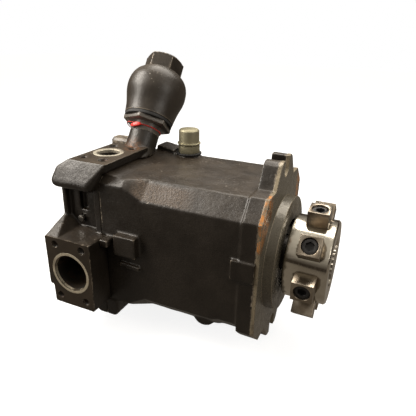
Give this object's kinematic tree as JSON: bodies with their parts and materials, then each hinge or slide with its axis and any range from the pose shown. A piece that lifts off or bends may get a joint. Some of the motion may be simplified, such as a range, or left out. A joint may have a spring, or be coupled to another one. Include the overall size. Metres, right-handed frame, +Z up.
{
  "type": "axial piston pump",
  "caption": "Swash-plate axial piston pump with side suction port, top pressure port, pulsation damper, drain fitting and a coupling hub with square drive blocks.",
  "frame": {"origin": "centre of the mounting pilot at the flange face, on the shaft axis", "axes": "+X out along the shaft, +Z up towards the pressure port, -Y towards the suction port"},
  "size_m": [0.3755, 0.2635, 0.3703],
  "materials": {
    "grey_paint": "semi-gloss grey-brown paint over a rough casting, chipped on edges",
    "black_rubber": "matte",
    "black_steel": "black oxide",
    "polished_steel": "turned and polished",
    "ground_steel": "ground",
    "bearing_steel": "hardened and polished",
    "bronze": "machined",
    "yellow_zinc": "yellow zinc plating, worn",
    "seal_red": "satin"
  },
  "bodies": {
    "housing": {"main_housing": "grey_paint", "end_cover": "grey_paint", "cover_gasket": "black_rubber", "cover_bolts": "black_steel", "shaft_seal": "black_rubber", "seal_retainer": "polished_steel", "retainer_screws": "black_steel", "front_bearing_outer": "bearing_steel", "rear_bearing_outer": "bearing_steel", "valve_plate": "bronze", "cradle_seat": "grey_paint", "cradle_liners": "bronze", "control_cylinder": "ground_steel", "bias_cylinder": "ground_steel", "bias_spring": "black_steel", "regulator_housing": "grey_paint", "regulator_gasket": "black_rubber", "regulator_screws": "black_steel", "regulator_spring": "black_steel", "regulator_bonnet": "yellow_zinc", "adjusting_screw": "polished_steel", "lock_nut": "yellow_zinc", "damper_adapter": "grey_paint", "damper_ring": "black_rubber", "damper_bulb": "grey_paint", "seal_wire": "seal_red", "lead_seal": "seal_red", "drain_seal_ring": "black_rubber", "drain_fitting": "yellow_zinc", "drain_cap": "yellow_zinc", "drain_clip": "black_steel", "bleed_screw": "polished_steel", "cover_plug": "yellow_zinc"},
    "shaft": {"drive_shaft": "ground_steel", "coupling_hub": "polished_steel", "hub_blocks": "ground_steel", "hub_block_screws": "black_steel", "front_bearing_inner": "bearing_steel", "rear_bearing_inner": "bearing_steel", "cylinder_block": "ground_steel", "pistons": "polished_steel", "disc_springs": "black_steel", "ball_guide": "polished_steel"},
    "front_rollers": {"front_bearing_rollers": "bearing_steel", "front_bearing_cage": "bronze"},
    "rear_rollers": {"rear_bearing_rollers": "bearing_steel", "rear_bearing_cage": "bronze"},
    "swash": {"swash_plate": "ground_steel"},
    "slipper_ring": {"slippers": "bronze", "retainer_plate": "ground_steel"},
    "control_piston": {"control_piston": "polished_steel"},
    "bias_piston": {"bias_piston": "polished_steel"},
    "spool": {"regulator_spool": "polished_steel"}
  },
  "joints": [
    {"name": "shaft_spin", "type": "hinge", "parent": "housing", "child": "shaft", "pos_m": [0, 0, 0], "axis": [1, 0, 0], "continuous": true},
    {"name": "front_cage_spin", "type": "hinge", "parent": "housing", "child": "front_rollers", "pos_m": [-0.0215, 0, 0], "axis": [1, 0, 0], "continuous": true},
    {"name": "rear_cage_spin", "type": "hinge", "parent": "housing", "child": "rear_rollers", "pos_m": [-0.2295, 0, 0], "axis": [1, 0, 0], "continuous": true},
    {"name": "swash_tilt", "type": "hinge", "parent": "housing", "child": "swash", "pos_m": [-0.104, 0, 0], "axis": [0, -1, 0], "range_deg": [0, 15]},
    {"name": "slipper_spin", "type": "hinge", "parent": "swash", "child": "slipper_ring", "pos_m": [-0.104, 0, 0], "axis": [1, 0, 0], "continuous": true},
    {"name": "control_piston_slide", "type": "slide", "parent": "housing", "child": "control_piston", "axis": [1, 0, 0], "range_m": [-0.0138, 0]},
    {"name": "bias_piston_slide", "type": "slide", "parent": "housing", "child": "bias_piston", "axis": [1, 0, 0], "range_m": [0, 0.0138], "deforming": ["bias_spring"]},
    {"name": "spool_slide", "type": "slide", "parent": "housing", "child": "spool", "axis": [0, 1, 0], "range_m": [0, 0.004], "stiffness_N_per_m": 2000, "deforming": ["regulator_spring"]}
  ],
  "couplings": [
    {"joint": "front_cage_spin", "follows": "shaft_spin", "ratio": 0.423},
    {"joint": "rear_cage_spin", "follows": "shaft_spin", "ratio": 0.427},
    {"joint": "slipper_spin", "follows": "shaft_spin", "ratio": 1},
    {"joint": "control_piston_slide", "follows": "swash_tilt", "m_per_rad": -0.052},
    {"joint": "bias_piston_slide", "follows": "swash_tilt", "m_per_rad": 0.052}
  ]
}
